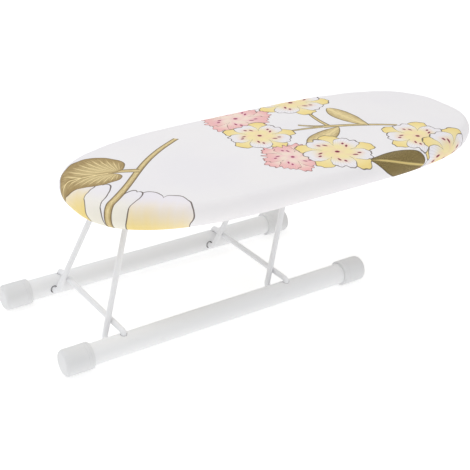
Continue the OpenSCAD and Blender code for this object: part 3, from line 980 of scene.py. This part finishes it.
def gather(points, inset, place, strength=1.0):
    """Draws the hem into small folds that grow from the rim to the hem's edge."""
    def turns(wanted):
        return TAU * round(EDGE_LENGTH / wanted) / EDGE_LENGTH

    drift = 1.4 * np.sin(place * turns(0.19)) + 0.9 * np.sin(place * turns(0.083) + 1.0)
    fold = 0.6 * np.sin(place * turns(0.0165) + drift) + 0.3 * np.sin(place * turns(0.0245) - drift * 1.3)
    fold += 0.2 * np.sin(place * turns(0.0098) + 2.1 * drift)
    share = np.clip((inset - GATHER_START) / (HEM_WIDTH - GATHER_START), 0, 1)
    points[:, 2] -= FOLD_DROP * strength * share ** 1.6 * (0.5 + 0.5 * fold)
    outward = points[:, :2] - (MIDDLE_X, 0)
    outward /= np.maximum(np.linalg.norm(outward, axis=1, keepdims=True), 1e-6)
    points[:, :2] += outward * (FOLD_SWING * strength * share ** 2 * fold)[:, None]
    return points


def make_cover():
    """One sheet of cotton over the top, round the rim and in under the board, with a rolled hem."""
    top, rim, hem = cover_rows()
    rows = top + rim + hem
    points = crowned(row_points(rows, STEPS), rows, len(top) + len(rim) * 3 // 4)
    under = np.array([0.0] * (len(top) + len(rim) // 2) + [inset for inset, _ in rim[len(rim) // 2:]]
                     + [inset for inset, _ in hem])
    points = gather(points, np.repeat(under, AROUND), np.tile(EDGE_PLACE, len(rows)))

    # On the flat cloth, the rows past the rim's top edge run on by their own length.
    flat_inset = [inset for inset, _ in top + rim[:1]]
    for before, after in zip(rows[len(top):], rows[len(top) + 1:]):
        flat_inset.append(flat_inset[-1] - math.dist(before, after))
    flat = np.concatenate([outline(inset) for inset in flat_inset])

    mesh = new_mesh("printed_cover", points, row_faces(rows, AROUND))
    add_uv(mesh, "cloth", flat)
    cover = finished("printed_cover", mesh)
    clean(cover)
    apply_modifier(cover, "SOLIDIFY", thickness=COTTON_THICK, offset=-1)
    cover.data.materials.append(printed_cotton())
    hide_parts("cover")
    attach(cover, "board")


# ---------------------------------------------------------------- sponge pad, hem elastic and hem stitching

def make_pad():
    """The pad inside the cover: a thick top that rolls over the panel's edge, with a recess for the panel."""
    gap, clear = 0.0016, 0.0001
    reach = MIDDLE_X + HALF_LENGTH - PANEL_HIGH.x - clear
    ceiling = PANEL_HIGH.z + clear
    rim = rim_rows(gap, 15, -72)
    rows = [(inset, TOP_Z - gap) for inset in (HALF_WIDTH, 0.09, 0.07, 0.05, 0.035, 0.022, 0.015)] + rim
    rows += [(reach, height) for height in np.linspace(rim[-1][1] + 0.0006, ceiling, 5)]
    rows += [(inset, ceiling) for inset in (0.012, 0.03, 0.06, HALF_WIDTH)]
    steps = even_steps(240)[0]
    pad = finished("sponge_pad", new_mesh("sponge_pad", row_points(rows, steps), row_faces(rows, len(steps))))
    clean(pad, 45)
    pad.data.materials.append(sponge())
    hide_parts("foam_pad")
    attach(pad, "board")


def make_hem_band():
    """A ribbed elastic band sewn along the hem's edge, waved by the gathers that it draws in."""
    width, thick = 0.0024, 0.0007
    start, low = HEM_WIDTH - 0.0019, UNDER_Z - 0.0005
    run = [width * share for share in (0, 0.33, 0.67, 1)]
    section = [(start + step, low) for step in run] + [(start + step, low - thick) for step in reversed(run)]
    across = run + run[::-1]
    place = np.tile(EDGE_PLACE, len(section))
    points = gather(row_points(section, STEPS), np.full(len(place), HEM_WIDTH), place, 0.8)
    mesh = new_mesh("hem_band", points, row_faces(section, AROUND, closed_ring=True))
    add_uv(mesh, "band", np.column_stack([place, np.repeat(across, AROUND)]))
    band = finished("hem_band", mesh)
    clean(band, 50)
    band.data.materials.append(braided_elastic())
    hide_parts("hem_elastic")
    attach(band, "board")


def make_stitching():
    """The row of lockstitches that holds the rolled hem: short plump lengths of thread."""
    pitch, length, half_width, half_height, sides = 0.0033, 0.0024, 0.00026, 0.00020, 6
    count = round(EDGE_LENGTH / pitch)
    steps, places, _ = even_steps(count)
    spots = np.column_stack([outline(STITCH_INSET, steps), np.full(count, UNDER_Z - 0.00005)])
    spots = gather(spots, np.full(count, STITCH_INSET), places)
    ahead = np.roll(spots, -1, 0) - spots
    ahead /= np.linalg.norm(ahead, axis=1, keepdims=True)
    down = np.array([0.0, 0.0, -1.0])
    aside = np.cross(ahead, down)
    rings = [(-0.5, 0.25), (-0.36, 0.85), (0.0, 1.0), (0.36, 0.85), (0.5, 0.25)]
    points, faces = [], []
    for spot, forward, out in zip(spots, ahead, aside):
        first = len(points)
        for run, plump in rings:
            for k in range(sides):
                turn = TAU * k / sides
                round_about = out * (half_width * math.cos(turn)) + down * (half_height * math.sin(turn))
                points.append(spot + forward * (run * length) + round_about * plump)
        for j in range(len(rings) - 1):
            for k in range(sides):
                n = (k + 1) % sides
                a, b = first + j * sides, first + (j + 1) * sides
                faces.append((a + k, a + n, b + n, b + k))
        faces.append(tuple(first + k for k in reversed(range(sides))))
        faces.append(tuple(first + (len(rings) - 1) * sides + k for k in range(sides)))
    stitching = finished("hem_stitching", new_mesh("hem_stitching", np.array(points), faces))
    clean(stitching, 60)
    stitching.data.materials.append(sewing_thread())
    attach(stitching, "board")


make_pad()
make_hem_band()
make_stitching()
make_cover()
